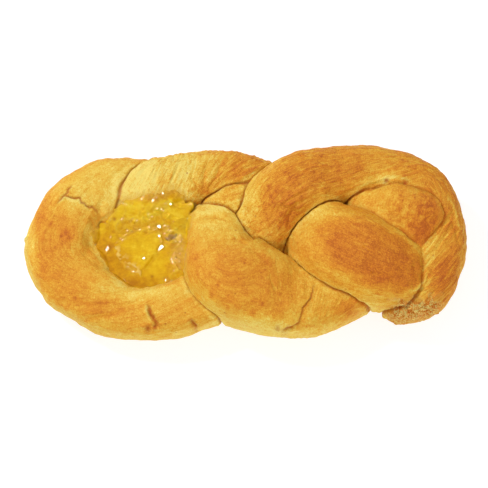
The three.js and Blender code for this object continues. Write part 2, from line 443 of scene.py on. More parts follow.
# Which way the dough was stretched where that is not along the rope: lines in plan, for each rope
STRETCHES = {
    "ring": (
        ((-64, 15), (-57, 28)), ((-60, 32), (-54, 38)), ((-74, -29), (-55, -27)), ((-70, -37), (-52, -33)),
        ((-80, -20), (-65, -25)), ((-45, -31), (-33, -22)), ((-34, -37), (-19, -29)),
    ),
    "tucked": (
        ((-53, 21), (-46, 33)), ((-47, 20), (-38, 38)), ((-40, 20), (-33, 38)), ((-34, 21), (-28, 37)),
        ((-19, 20), (-21, 33)), ((-17, 21), (-13, 36)), ((-16, 21), (-5, 35)), ((-15, 22), (3, 34)),
        ((-8, 28), (9, 35)),
    ),
    "middle": (
        ((18, -13), (24, -30)), ((25, -18), (23, -36)), ((33, -25), (29, -39)), ((41, -28), (37, -38)),
        ((3, -15), (10, -11)),
    ),
    "bow": (
        ((48, 21), (63, 26)), ((54, 20), (70, 29)), ((80, -7), (89, 4)), ((81, -14), (93, -2)),
    ),
    "bulge": (((-14, 17), (0, 22)),),
}
STRETCH_REACH = 9.0
ALONG_ROPE = 0.25               # pull of the rope's own direction against these lines
MAP_REACH = (105, 50)
MAP_CELL = 1.5
MAP_ROPE_STEP = 2.0
FIBRE_STEPS = 7


def stretch_maps():
    """For each rope, a level grid with the direction of stretch as an angle."""
    across, back = (np.arange(-reach, reach + 1, MAP_CELL) for reach in MAP_REACH)
    x, y = np.meshgrid(across, back, indexing="ij")
    flat = np.column_stack([x.ravel(), y.ravel()])
    maps = []
    for name, rope in ROPES.items():
        line = rope_line(rope, MAP_ROPE_STEP)
        away = np.linalg.norm(flat[:, None] - line["middle"][None, :, :2], axis=2)
        heading = line["heading"][away.argmin(1)]
        angle = 2 * np.arctan2(heading[:, 1], heading[:, 0])
        total = ALONG_ROPE * np.column_stack([np.cos(angle), np.sin(angle)])
        for (ax, ay), (bx, by) in STRETCHES.get(name, ()):
            gap, _ = to_path(flat, ((ax, ay), (bx, by)))
            turn = 2 * math.atan2(by - ay, bx - ax)
            total += hump(gap, STRETCH_REACH)[:, None] * (math.cos(turn), math.sin(turn))
        maps.append((0.5 * np.arctan2(total[:, 1], total[:, 0])).reshape(x.shape))
    return np.array(maps)


def stretch_at(maps, points, owner):
    """Level unit vector of the stretch at each point."""
    cell = np.round((points[:, :2] + MAP_REACH) / MAP_CELL).astype(int)
    ix, iy = np.clip(cell, 0, np.array(maps.shape[1:]) - 1).T
    angle = maps[owner, ix, iy]
    return np.column_stack([np.cos(angle), np.sin(angle), 0 * angle])


def fibres(points, owner, maps, cell, length, seed):
    """Unevenness drawn out along the stretch of the dough, about between -2 and 2."""
    step = length / (2 * FIBRE_STEPS)
    total = noise(points, cell, seed)
    start = stretch_at(maps, points, owner)
    for sign in (1, -1):
        here, way = points.copy(), sign * start
        for _ in range(FIBRE_STEPS):
            here = here + step * way
            ahead = stretch_at(maps, here, owner)
            way = ahead * np.sign(np.einsum("ij,ij->i", ahead, way) + 1e-9)[:, None]
            total = total + noise(here, cell, seed)
    return total / total.std()


# Marks of the hand and the oven

# Cracks: path in plan, half width and depth
CRACKS = {
    "ring crack": (((-83, 16), (-80, 19), (-76.5, 18), (-73, 18), (-72.5, 16), (-69, 14), (-67.5, 14.5),
                    (-65.5, 12.5)), 0.45, 0.8),
    "ring crack branch": (((-80, 19), (-77.5, 24)), 0.5, 0.4),
    "ring slit": (((-42, -31), (-40.5, -35), (-37.5, -40)), 0.6, 1.1),
    "ring notch": (((-23, -37), (-20, -41)), 0.7, 0.9),
    "middle seam": (((30.3, -23.3), (29, -29.3), (25.6, -33.4), (23.9, -39.5), (19.5, -41.6)), 0.32, 0.4),
    "middle low crack": (((17, -42.2), (21.5, -40.6)), 0.55, 0.9),
}
# Soft folds: path, half width and depth
WRINKLES = (
    (((-69, 10), (-67.3, 7)), 0.7, 0.5),
    (((31.3, -23.6), (30, -29.3), (26.6, -33.4), (24.9, -39.5), (19, -42)), 1.3, 0.4),
    (((21.2, 10.2), (18.6, 3.1)), 0.7, 0.7), (((24, 15), (20, 8), (14, 2)), 0.9, 0.5),
    (((80.6, -13.3), (82.3, -16), (84.4, -17.6)), 0.6, 0.4),
    (((-21.8, 6.6), (-16, 9.2), (-10.7, 8.8), (-5, 6)), 1.1, 0.5),
    (((-19, 20.5), (-23, 27), (-24.5, 35)), 0.9, 0.5), (((-18.3, 20.5), (-18, 29), (-16, 37)), 1.0, 0.6),
    (((-17, 21), (-12, 29), (-9, 38)), 1.0, 0.7), (((-16.5, 21.5), (-8, 28.5), (-1, 37)), 1.1, 0.7),
    (((-15.5, 22), (-4, 29), (6, 33)), 1.0, 0.6), (((-80, -24), (-68, -31), (-55, -29)), 1.0, 0.4),
    (((-76, -20), (-66, -26), (-52, -25)), 0.9, 0.4), (((-72, -36), (-60, -36), (-50, -32)), 0.9, 0.4),
    (((47, 15), (52, 21), (63, 26)), 0.9, 0.6), (((50, 17), (57, 22), (66, 24)), 0.8, 0.4),
    (((0, -8), (8, -12), (12, -20)), 1.2, 0.35), (((-5, -2), (3, -8)), 1.0, 0.3),
    (((54, -20), (64, -22), (70, -20)), 1.0, 0.25), (((89, 12), (94, 2), (95.5, -6)), 0.7, 0.4),
)
# Pits: middle, radius and depth
PITS = (
    (-42, -41, 0.9, 0.9), (-38.9, -40.3, 0.7, 0.7), (14.5, -42.2, 0.8, 1.0), (71.6, 23.9, 0.9, 1.4),
    (63.5, 25.2, 0.7, 1.1), (-80.8, 0.3, 0.45, 0.5),
)
# Pale lips that stand out: path, half width, height
LIPS = (
    (((82, -14.5), (80, -17), (79.4, -20.3), (76.5, -22.7), (74.2, -25.1), (68, -28)), 0.6, 0.7),
    (((86, -18), (82, -20), (79, -23)), 0.5, 0.5),
    (((-83, 15), (-80, 17.8), (-76.5, 16.7), (-73, 16.6), (-69, 12.6)), 0.6, 0.4),
    (((-43.3, -29), (-41.9, -35), (-39, -40)), 0.7, 0.6),
    (((-99, 0.5), (-96.5, 1.5), (-95, 3)), 0.6, 0.8),
    (((58, 25), (66, 27), (74, 25)), 0.8, 0.4),
    (((89.5, 20), (93.5, 12), (95.5, 2)), 0.6, 0.4),
)
# Beads of glaze: middle, radius and height
BEADS = (
    (-84.4, 22, 0.6, 0.35), (51.5, -8.8, 0.8, 0.35), (53.6, -10.2, 0.6, 0.3), (54.8, -19.6, 0.6, 0.35),
    (37.7, -17.2, 0.6, 0.3),
)
# Low swellings of the crust: middle, radius and height
BUMPS = ((-73.5, 0.5, 2.2, 0.9), (-66, -31, 6.0, 0.5), (52, -4, 9.0, 0.4), (-43.5, -34.5, 2.2, 0.7))
# Red-brown specks of crust: middle and reach
SPECKS = (
    (-21, -13, 0.8), (-14.4, -29.6, 0.9), (-11.2, -25.5, 0.9), (-4.5, -3.7, 0.8), (4, -36.6, 1.1),
    (15.3, -28.4, 0.8), (-7, -30, 0.7), (0, -16, 0.7), (-3, -35, 1.3), (-7, -34.5, 1.0), (8, -33, 0.8),
    (-80.8, 0.3, 0.6), (43, 24, 0.9), (31, 27, 0.8), (20, 16, 0.8), (83, 12, 1.2), (80, 4, 1.2),
    (77, 8, 1.0), (84, 5, 1.0), (76, -1, 1.1), (-78.5, 1.5, 1.2), (-77, -0.5, 1.0), (-83, -5, 0.9),
    (-86, 6, 1.0), (-74, -28, 0.9), (-62, -34, 0.9),
)

# Borders between ropes where the dough has grown together: middle, reach, and how much
GROWN = (
    (84, -16, 8, 0.95), (80.5, -7, 9, 0.95), (24, -34, 9, 0.9), (28, -26, 6, 0.5), (88, -2, 8, 0.8),
    (88, 10, 6, 0.5), (-64, 3, 7, 0.85), (68, 14, 13, 1.0), (78, 8, 8, 0.8), (80, 22, 9, 0.6),
    (-61, 14, 7, 0.7),
)
# The torn end and the blistered skin of the knob, each an oval in plan: middle, reaches, direction in degrees
TORN = (76.0, -32.5, 15.5, 5.0, 9.0)
KNOB_SKIN = (73, 8, 15, 14, -20)

# The relief
ROPE_SHIFT = 37.0               # moves the noise on for each rope, so that no lump runs across a border
STREAK_HEIGHT = 0.15
# Creases: reach of the groove, reach of the painted shade laid along it, and depth of the groove
CREASE_REACH, CREASE_SHADE_REACH, CREASE_DEPTH = 0.5, 0.6, 0.9
BESIDE_GAP, BESIDE_REACH = 1.6, 1.3
CRACK_GAIN, CRACK_LIP = 1.2, 0.35
FOLD_GAIN, PIT_GAIN = 1.3, 0.6
CRUMB_HEIGHT, CRUMB_SINK = 1.5, 0.45
SPECK_BROWN = 0.3


def grown_together(points):
    """1 where the border between two ropes has closed up."""
    share = np.zeros(len(points))
    for x, y, reach, most in GROWN:
        share = np.maximum(share, most * spot(points, x, y, reach))
    return share


def in_oval(points, oval, warp=0.0):
    """Distance from the middle of a turned oval, 1 at its edge."""
    x, y, reach, width, degrees = oval
    turn = math.radians(degrees)
    dx, dy = points[:, 0] - x, points[:, 1] - y
    ahead = dx * math.cos(turn) + dy * math.sin(turn)
    across = dy * math.cos(turn) - dx * math.sin(turn)
    return np.hypot(ahead / reach, across / width) + warp


def relief(points, normals, owner, beyond, maps):
    """How far each point stands out, in millimetres, and the masks of the marks on the dough."""
    upper = rise(normals[:, 2], -0.2, 0.5)
    border = 1 - grown_together(points)
    own = points + (owner * ROPE_SHIFT)[:, None]
    out = layers(own, ((0.55, 19, 1), (0.30, 8, 2))) + 0.12 * noise(points, 3.4, 3)
    broad = fibres(points, owner, maps, 2.6, 22, 5)
    fine = fibres(points, owner, maps, 1.25, 11, 6)
    strength = STREAKINESS[owner] * (0.5 + 0.5 * rise(noise(points, 17, 4), -0.3, 0.4))
    out += strength * (STREAK_HEIGHT * broad + STREAK_HEIGHT * fine)
    beside = hump(beyond - BESIDE_GAP, BESIDE_REACH) * border
    out += beside * (0.45 + 0.3 * noise(points, 1.9, 18))
    out -= CREASE_DEPTH * hump(beyond, CREASE_REACH) * border
    shaken = points + shake(points, 0.6, 2.2, 7)
    # The cracks mask only tints the colour: crack colour with painted shade in the cracks and pits
    cracks, folds, lips, bead = (np.zeros(len(points)) for _ in range(4))
    for path, width, depth in CRACKS.values():
        gap, share = to_path(shaken, path)
        taper = np.sqrt(np.maximum(tapered(share, 4), 0.1)) * upper
        out -= CRACK_GAIN * depth * taper * hump(gap, width)
        out += CRACK_LIP * depth * taper * hump(gap - 2.0 * width, width)
        cracks = np.maximum(cracks, np.sqrt(taper) * hump(gap, 1.1 * width))
    for path, width, depth in WRINKLES:
        gap, share = to_path(shaken, path)
        folds = np.maximum(folds, depth * (tapered(share, 4) * upper) * hump(gap, width))
    out -= FOLD_GAIN * folds
    for x, y, radius, depth in PITS:
        pit = spot(points, x, y, radius) * rise(normals[:, 2], 0.15, 0.5)
        out -= PIT_GAIN * depth * pit
        cracks = np.maximum(cracks, np.sqrt(pit))
    for x, y, radius, height in BUMPS:
        out += height * spot(points, x, y, radius) * upper
    for path, width, height in LIPS:
        gap, share = to_path(shaken, path)
        lip = tapered(share, 5) * hump(gap, width) * rise(normals[:, 2], -0.4, 0.2)
        lips = np.maximum(lips, lip)
        out += height * lip
    for x, y, radius, height in BEADS:
        drop = spot(points, x, y, radius)
        bead = np.maximum(bead, drop * upper)
        out += height * drop * upper
    torn = 1 - rise(in_oval(points, TORN, 0.45 * noise(points, 4, 12)), 0.6, 1.2)
    torn *= rise(normals[:, 2], -0.5, 0.3)
    crumbs = np.abs(noise(points, 2.6, 13)) + 0.7 * np.abs(noise(points, 1.2, 14))
    out += torn * (CRUMB_HEIGHT * crumbs - CRUMB_SINK)
    knob = upper * np.isin(owner, KNOB_ROPES)
    knob *= 1 - rise(in_oval(points, KNOB_SKIN, 0.12 * noise(points, 5, 47)), 0.6, 1.1)
    out += knob * layers(points, ((0.16, 2.4, 48), (0.10, 1.3, 49)))
    marks = dict(knob=knob, beside=beside, cracks=cracks, folds=folds, torn=torn, broad=broad, fine=fine,
                 bead=bead, lips=lips)
    return out * rise(points[:, 2], 0.4, 4.0), marks


def finish_mesh(thing, material, node_name):
    """Smooth faces, a material, and the place of the piece on the frame."""
    thing.data.polygons.foreach_set("use_smooth", [True] * len(thing.data.polygons))
    thing.data.materials.clear()
    thing.data.materials.append(material)
    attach(thing, "root")
    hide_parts(node_name)


# Places on each rope where the oven caught the crust (more than 0) or left it pale (less than 0):
# an oval in plan (middle, reaches, direction in degrees), the amount, and how soft its edge is
KNOB_EDGE = (((83, 7, 6, 13, -10), 0.32, 0.8), ((78, -1, 8, 5, 0), 0.20, 0.8))
PATCHES = {
    "ring": (
        ((-84, -1, 8, 17, 0), 0.12, 0.5), ((-97, -8, 5, 20, 8), -0.20, 0.6),
        ((-77, -25, 12, 7, -42), 0.10, 0.6), ((-78, 0, 3.5, 4, 0), 0.16, 0.7),
        ((-90, -13, 4, 9, 15), 0.10, 0.6), ((-90, 12, 2.5, 9, -10), 0.12, 0.6),
        ((-66, 27, 19, 10, 35), -0.20, 0.6), ((-57, 10, 8, 14, 0), -0.14, 0.5),
        ((-44, -23, 20, 5, 0), -0.24, 0.6), ((-62, -8, 16, 3.5, -60), -0.26, 0.5),
        ((-60, -32, 9, 4, 0), 0.10, 0.6),
    ),
    "tucked": (
        ((-50, 25, 10, 15, -30), -0.42, 0.6), ((-27, 31, 12, 14, 0), -0.24, 0.7),
        ((2, 34, 12, 8, 0), 0.16, 0.6), ((-17, 21, 5, 5, 0), 0.25, 0.7),
    ),
    "bulge": (((-8, 20, 12, 7, 0), -0.02, 0.5),),
    "middle": (
        ((3, -24, 20, 13, -20), 0.20, 0.5), ((-10, 5, 16, 9, -20), -0.16, 0.6),
        ((-17, 14, 9, 4, -5), -0.24, 0.5), ((-23, -12, 4, 15, 15), 0.14, 0.6),
        ((51, -34, 10, 7, 0), 0.38, 0.6), ((5, -42, 18, 5.0, -4), -0.24, 0.3),
        ((73, 10, 9, 13, 0), 0.16, 0.5), *KNOB_EDGE,
    ),
    "shoulder": (((74, 10, 10, 9, 0), 0.16, 0.5), *KNOB_EDGE, ((56, 13, 9, 8, 0), -0.06, 0.6)),
    "bow": (
        ((4, 22, 7, 21, -28), -0.24, 0.6), ((17, 14, 9, 15, 30), 0.21, 0.6), ((36, 28, 19, 9, 8), 0.20, 0.7),
        ((90, 6, 10, 30, 0), 0.16, 0.5), ((76, 31, 13, 8, -30), 0.10, 0.6), ((88, -20, 7, 10, 0), 0.20, 0.7),
        ((58, 25, 10, 4, 20), -0.14, 0.6), ((83, -6, 7, 6, 40), -0.22, 0.6),
    ),
    "bridge": (
        ((57, -11, 27, 12.5, -27), 0.26, 0.25), ((27, 5, 9, 9, 0), -0.14, 0.6),
        ((38, 8, 10, 6, -20), -0.14, 0.6), ((66, -14, 14, 7, -27), 0.06, 0.6),
        ((48, -17, 14, 5, -27), 0.10, 0.6),
    ),
}


def browning_and_shade(points, normals, owner, marks):
    """From 0, pale dough, to 1, dark brown crust, with painted shade added in the folds and on faces turned
    to the back.
    """
    up = rise(normals[:, 2], -0.1, 0.8)
    # Tops are browner from the oven; faces turned to the back are made browner as painted shade along the far
    # edges
    brown = 0.22 + 0.22 * up + 0.12 * rise(normals[:, 1], 0.3, 0.9) + ROPE_BROWN[owner]
    warp = 0.16 * noise(points, 6, 9) + 0.05 * marks["broad"]
    for k, name in enumerate(ROPES):
        for oval, amount, soft in PATCHES[name]:
            inside = 1 - rise(in_oval(points, oval, warp), 1 - soft, 1 + soft)
            brown += (owner == k) * amount * inside * (0.3 + 0.7 * up)
    brown += STREAKINESS[owner] * (0.04 * marks["broad"] + 0.06 * marks["fine"])
    brown += layers(points, ((0.08, 6, 11), (0.05, 2.4, 10)))
    brown -= marks["beside"] * (0.13 + 0.10 * noise(points, 3, 19))
    for x, y, reach in SPECKS:
        brown += SPECK_BROWN * spot(points, x, y, reach) * up
    # Folds are made browner as painted shade in their grooves; lips are paler
    brown += 0.25 * marks["folds"] - 0.35 * marks["lips"]
    brown += marks["knob"] * layers(points, ((0.16, 2.6, 50), (0.16, 1.2, 51)))
    brown += marks["torn"] * (0.42 + 0.50 * noise(points, 2.2, 16) + 0.35 * noise(points, 1.1, 17) - brown)
    return np.clip(brown, 0, 1)


def soaked_dough(points, owner):
    """Where jam has wetted the dough around the pool and on the tucked end."""
    outside = -inside_edge(points, JAM_EDGE) + 0.9 * noise(points, 4, 15)
    wall = (owner == ROPE_NAMES.index("tucked")) | (points[:, 1] > 4)
    return (1 - rise(outside, 0.0, 3.0)) * rise(points[:, 2], 10, 14) * np.where(wall, 1.0, 0.35)


def build_dough():
    dough = fused_dough()
    mesh = dough.data
    points, normals = read_points(mesh), read_vertices(mesh, "normal")
    owner, beyond = rope_places(points)
    maps = stretch_maps()
    out, marks = relief(points, normals, owner, beyond, maps)
    points = points + out[:, None] * normals
    points[:, 2] = np.maximum(points[:, 2], 0)
    write_points(mesh, points)
    # Painted shade along the borders between ropes; the cracks mask gives crack colour with painted shade in
    # cracks and pits
    shown = dict(
        brown=browning_and_shade(points, read_vertices(mesh, "normal"), owner, marks),
        crease_shade=hump(beyond, CREASE_SHADE_REACH) * (1 - grown_together(points)),
        cracks=marks["cracks"], torn=marks["torn"], streaky=STREAKINESS[owner],
        soaked=soaked_dough(points, owner), bead=marks["bead"],
    )
    for name, values in shown.items():
        keep_values(mesh, name, values)
    keep_values(mesh, "stretch", stretch_at(maps, points, owner), "FLOAT_VECTOR", "vector")
    return dough


# The jam: a pool with a raised chunk of skin in its middle, and a film up the tucked end

# Its edge in plan
JAM_EDGE = (
    (-68.5, 3), (-65.5, -3), (-62, -9.5), (-58.5, -13.5), (-56, -18), (-50.5, -22), (-45, -22.5),
    (-38.5, -20.5), (-31.5, -18), (-27, -17), (-27.5, -9.5), (-27, -2), (-24.5, 5), (-23.5, 9), (-24.5, 14),
    (-26, 17), (-27.5, 20), (-31, 22.5), (-36, 21), (-42, 20), (-48, 19), (-53, 18), (-58, 14), (-62, 8),
    (-68.5, 3),
)
JAM_CENTRE, JAM_RADII = (-46.0, -0.5), (30.0, 27.0)
JAM_LEVEL = 16.5
JAM_CLIMB, JAM_CLIMB_FROM, JAM_CLIMB_MOST = 0.5, 4.0, 5.5
JAM_FLOOR = HOLLOW_FLOOR + 0.5
JAM_SPOKES = 400
CHUNK_EDGE = (
    (-58.5, -2.5), (-52.5, 2.5), (-44.5, 6.5), (-38.8, 7), (-36.6, 2), (-38.8, -5), (-43.3, -11),
    (-46.2, -16), (-52.3, -11), (-56.8, -7), (-58.5, -2.5),
)
# Where the skin of the chunk is pale and rough: a line in plan
CHUNK_ROUGH = ((-58, -3), (-54.5, -8), (-50.5, -12), (-46.5, -15))
# Thin standing folds of the skin: path, half width, height
JAM_RIDGES = (
    (((-43, 7), (-40, 7.4), (-36.6, 6.5), (-34.4, 7.2)), 0.45, 0.6),
    (((-37.7, 5.3), (-36.8, 0.6), (-37.9, -3)), 0.5, 0.6),
    (((-29.3, 3), (-28.3, -0.6), (-30.5, -4), (-31, -9), (-29, -13.6), (-34.4, -17)), 0.35, 0.4),
    (((-57.5, -1), (-52, 4), (-46, 7)), 0.5, 0.5),
    (((-58.5, -4), (-55, -9), (-50, -13.5), (-46.5, -16.5)), 0.6, 0.5),
    (((-35, 4.5), (-31.5, 5.2), (-29, 3)), 0.45, 0.6),
    (((-35.2, 1.5), (-32.5, -0.6), (-29.6, 0.2)), 0.45, 0.5),
    (((-60, 8), (-52, 10), (-44, 9)), 0.9, 0.3),
    (((-50, 14), (-42, 15), (-34, 13)), 1.0, 0.3),
)
# Soft swellings: middle and reach. The middle of each is a flat that leans towards the window light.
JAM_SWELLS = (
    (-37.2, -2.6, 2.0), (-38.1, 6.8, 1.4), (-35.3, 7.4, 1.1), (-37.9, 2.7, 1.1), (-60.9, -3.3, 1.6),
    (-52.6, 5.2, 1.1), (-30.6, 6.6, 1.1), (-44.5, -7.6, 1.0), (-28.7, 3.3, 0.9), (-34.4, -18.0, 1.4),
    (-39.2, 13.4, 1.1), (-36.5, 20.2, 1.0), (-32.9, 21.2, 1.0), (-30.4, 20.4, 0.9), (-27.6, 19.0, 0.9),
    (-25.9, 10.1, 1.1), (-40.5, 17.6, 1.0), (-49.3, 9.2, 1.1), (-59.4, 2.5, 1.1), (-31.4, -9.6, 1.0),
    (-45.5, 15.0, 1.1), (-33.0, 15.5, 1.0), (-29.5, -4.5, 1.0), (-33.6, 11.5, 1.0), (-42.8, 10.0, 0.9),
    (-28.2, 14.8, 1.0),
)
SWELL_STEEPNESS = 0.22
FLAT_SHARE = 0.43
WINDOW_LEAN = (0.306, -0.043)
# The greyish hollow at the right, an oval in plan, and dark specks: middle and reach
JAM_CAVITY = (-32.4, 2.6, 2.7, 1.5, 30.0)
JAM_SPECKS = ((-40.8, -15.9, 0.7), (-42.9, -21, 0.4), (-57.9, 9.9, 0.8))
# Darker (more than 0) and brighter (less than 0) parts: an oval in plan and the amount
JAM_TONES = (
    ((-58, -9, 15, 6, -52), 0.34), ((-46, -20, 13, 4, 5), 0.22), ((-55, 5, 9, 4, 25), 0.14),
    ((-31, -9, 5, 9, 0), 0.10), ((-44, 14, 16, 5, 0), -0.14), ((-29, 7, 6, 5, 0), -0.14),
    ((-46, -1, 8, 5, 20), -0.06), ((-41, -9, 4, 6, -30), -0.12), ((-36, 20.3, 12, 3.0, 12), 0.45),
    ((-37, 9.5, 5, 1.5, -10), 0.2),
)


def surface_finder(dough):
    """A test that gives the height of the dough, in millimetres, over a place in plan."""
    faces = [tuple(face.vertices) for face in dough.data.polygons]
    tree = BVHTree.FromPolygons(read_points(dough.data).tolist(), faces)
    down = Vector((0, 0, -1))

    def height(x, y):
        hit = tree.ray_cast(Vector((x, y, 90.0)), down)
        return hit[0].z if hit[0] else 0.0

    return height


def inside_edge(flat, edge):
    """Distance in plan to a closed edge, more than 0 inside it."""
    gap, _ = to_path(flat, edge)
    x, y = flat[:, 0], flat[:, 1]
    inside = np.zeros(len(flat), bool)
    for (ax, ay), (bx, by) in zip(edge[:-1], edge[1:]):
        if ay != by:
            crosses = (ay > y) != (by > y)
            inside ^= crosses & (x < ax + (y - ay) * (bx - ax) / (by - ay))
    return np.where(inside, gap, -gap)


def jam_surface(flat, dough_top):
    """Height of the jam over each point in plan, and the masks of its skin."""
    x, y, _ = flat.T
    climb = np.clip(JAM_CLIMB * (y - JAM_CLIMB_FROM), 0, JAM_CLIMB_MOST)
    pool = JAM_LEVEL + climb + layers(flat, ((0.4, 10, 20), (0.10, 4.5, 21), (0.03, 2.2, 29)))
    shaken = flat + shake(flat, 0.9, 3, 27)
    from_chunk = inside_edge(shaken, CHUNK_EDGE)
    chunk = rise(from_chunk, -0.6, 1.0)
    # Deeper amber just outside the chunk's edge: thicker jam colour with painted shade at the foot of the
    # edge
    moat_tone_and_shade = hump(from_chunk + 1.0, 0.8)
    from_rough, _ = to_path(shaken, CHUNK_ROUGH)
    rough = hump(from_rough, 2.2) * rise(noise(flat, 1.9, 25), -0.1, 0.25) * rise(chunk, 0.2, 0.5)
    pool += 0.7 * chunk + 0.3 * rough
    skin = 0.7 * hump(noise(flat, 5, 41), 0.06) * rise(np.maximum(y, x + 36) + 4 * noise(flat, 9, 42), 2, 6)
    pool += 0.45 * skin
    drawn = flat * (0.6, 1.0, 1.0)
    crinkled = rise(np.maximum(y, x + 38) + 4 * noise(flat, 9, 44), 1, 7)
    crinkle = 1 - np.abs(noise(drawn, 2.3, 45)) - 0.5 * np.abs(noise(drawn, 1.2, 46))
    pool += crinkled * (0.3 * crinkle - 0.2)
    skin = np.maximum(skin, crinkled * rise(crinkle, 0.72, 0.95))
    broken = rise(noise(flat, 3.5, 31), -0.6, 0.1)
    for path, width, tall in JAM_RIDGES:
        gap, share = to_path(shaken, path)
        ridge = tapered(share, 5) * hump(gap, width) * broken
        pool += tall * ridge
        skin = np.maximum(skin, ridge)
    for px, py, reach in JAM_SWELLS:
        pool += SWELL_STEEPNESS * reach * spot(shaken, px, py, 1.5 * reach)
    cavity = 1 - rise(in_oval(flat, JAM_CAVITY, 0.6 * noise(flat, 1.8, 33)), 0.6, 1.3)
    pool += cavity * (1.3 * noise(flat, 1.3, 34) - 0.5)
    within = inside_edge(shaken + shake(flat, 0.35, 1.2, 35), JAM_EDGE)
    film = 0.2 + 0.35 * rise(within, 0.5, 5.0) + 0.08 * noise(flat, 2.5, 26)
    top = np.maximum(pool, dough_top + film)
    sunk = dough_top - 1.0
    share = np.maximum(rise(within, -0.9, 0.3), rise(JAM_LEVEL - dough_top, -0.2, 0.4))
    height = sunk + (top - sunk) * share
    for px, py, reach in JAM_SWELLS:
        gap = np.hypot(shaken[:, 0] - px, shaken[:, 1] - py)
        leaning = height[np.argmin(gap)] + WINDOW_LEAN[0] * (x - px) + WINDOW_LEAN[1] * (y - py)
        height += (1 - rise(gap, FLAT_SHARE * reach, reach)) * (leaning - height)
    thin = (1 - rise(within, 0.3, 3.0)) * rise(dough_top - JAM_LEVEL, 0.5, 2.5)
    specks = np.max([spot(flat, *speck) for speck in JAM_SPECKS], axis=0)
    masks = dict(chunk=chunk, rough=rough, skin=skin, cavity=cavity, thin=thin, moat_tone_and_shade=moat_tone_and_shade, specks=specks)
    return height, masks


def jam_tone(flat):
    """From 0, bright yellow, to 1, deep amber."""
    tone = 0.45 + layers(flat, ((0.12, 9, 37), (0.24, 3.5, 38), (0.18, 1.6, 43)))
    warp = 0.22 * noise(flat, 5, 39)
    for oval, amount in JAM_TONES:
        tone += amount * (1 - rise(in_oval(flat, oval, warp), 0.5, 1.5))
    return np.clip(tone, 0, 1)


def build_jam(dough):
    height = surface_finder(dough)
    rings = round(JAM_RADII[0] / JAM_STEP)
    share = np.arange(1, rings + 1) / rings
    angle = np.linspace(0, 2 * math.pi, JAM_SPOKES, endpoint=False)
    x = (JAM_CENTRE[0] + JAM_RADII[0] * share[:, None] * np.cos(angle)).ravel()
    y = (JAM_CENTRE[1] + JAM_RADII[1] * share[:, None] * np.sin(angle)).ravel()
    flat = np.vstack([np.column_stack([x, y, 0 * x]), (*JAM_CENTRE, 0)])
    dough_top = np.array([height(px, py) for px, py, _ in flat])
    top, masks = jam_surface(flat, dough_top)
    rim = np.append(np.repeat(share, JAM_SPOKES) > 0.999, False)
    surface = np.column_stack([flat[:, :2], top])
    skirt = surface[rim].copy()
    skirt[:, 2] = JAM_FLOOR
    points = np.vstack([surface[:-1], skirt, surface[-1:], (*JAM_CENTRE, JAM_FLOOR)])
    jam = make_mesh("jam", points, [tuple(reversed(face)) for face in tube_faces(rings + 1, JAM_SPOKES)])

    def keep(name, values, under):
        skirt_values = np.full(JAM_SPOKES, under)
        keep_values(jam.data, name, np.concatenate([values[:-1], skirt_values, values[-1:], [under]]))

    keep("tone", jam_tone(flat), 0.5)
    for name, values in masks.items():
        keep(name, values, 0.0)
    return jam


# Materials

def new_material(name):
    material = bpy.data.materials.new(name)
    material.use_nodes = True
    tree = material.node_tree
    tree.nodes.clear()
    out = tree.nodes.new("ShaderNodeOutputMaterial")
    shader = tree.nodes.new("ShaderNodeBsdfPrincipled")
    tree.links.new(shader.outputs["BSDF"], out.inputs["Surface"])
    return material, tree, shader


def feed(tree, made, inputs):
    """Gives a node its inputs, by name or number: values, or outputs of other nodes."""
    for key, value in inputs.items():
        if isinstance(value, bpy.types.NodeSocket):
            tree.links.new(value, made.inputs[key])
        else:
            made.inputs[key].default_value = value


def node(tree, kind, inputs=None, **settings):
    made = tree.nodes.new(kind)
    for key, value in settings.items():
        setattr(made, key, value)
    feed(tree, made, inputs or {})
    return made


def linear(red, green, blue):
    """A colour as seen on a screen, 0 to 255, for a shader."""
    def one(value):
        value /= 255
        return value / 12.92 if value <= 0.04045 else ((value + 0.055) / 1.055) ** 2.4
    return (one(red), one(green), one(blue), 1.0)


def ramp(tree, factor, stops):
    """A colour ramp with stops of place and colour."""
    made = node(tree, "ShaderNodeValToRGB", {"Fac": factor})
    band = made.color_ramp
    while len(band.elements) > 1:
        band.elements.remove(band.elements[-1])
    band.elements[0].position = stops[0][0]
    band.elements[0].color = linear(*stops[0][1])
    for place, colour in stops[1:]:
        band.elements.new(place).color = linear(*colour)
    return made.outputs["Color"]


def attribute(tree, name, output="Fac"):
    return node(tree, "ShaderNodeAttribute", attribute_name=name).outputs[output]


def maths(tree, kind, a, b=0.0, clamp=False):
    return node(tree, "ShaderNodeMath", {0: a, 1: b}, operation=kind, use_clamp=clamp).outputs[0]


def times(tree, a, b):
    return maths(tree, "MULTIPLY", a, b)


def summed(tree, start, *terms, clamp=False):
    """A start and further values, each with its weight, added up."""
    total = start
    for i, (value, weight) in enumerate(terms):
        last = i == len(terms) - 1
        total = maths(tree, "ADD", total, times(tree, value, weight), clamp=clamp and last)
    return total


def mix_colour(tree, factor, a, b):
    return node(tree, "ShaderNodeMix", {0: factor, 6: a, 7: b}, data_type="RGBA").outputs[2]


def tinted(tree, colour, mask, most, tint):
    """The colour, going over to the tint where the mask is, by the given share at most."""
    return mix_colour(tree, times(tree, mask, most), colour, tint)


def bumped(tree, shader, height, strength, depth):
    bump = node(tree, "ShaderNodeBump", {"Height": height, "Strength": strength, "Distance": depth * MM})
    feed(tree, shader, {"Normal": bump.outputs[0]})


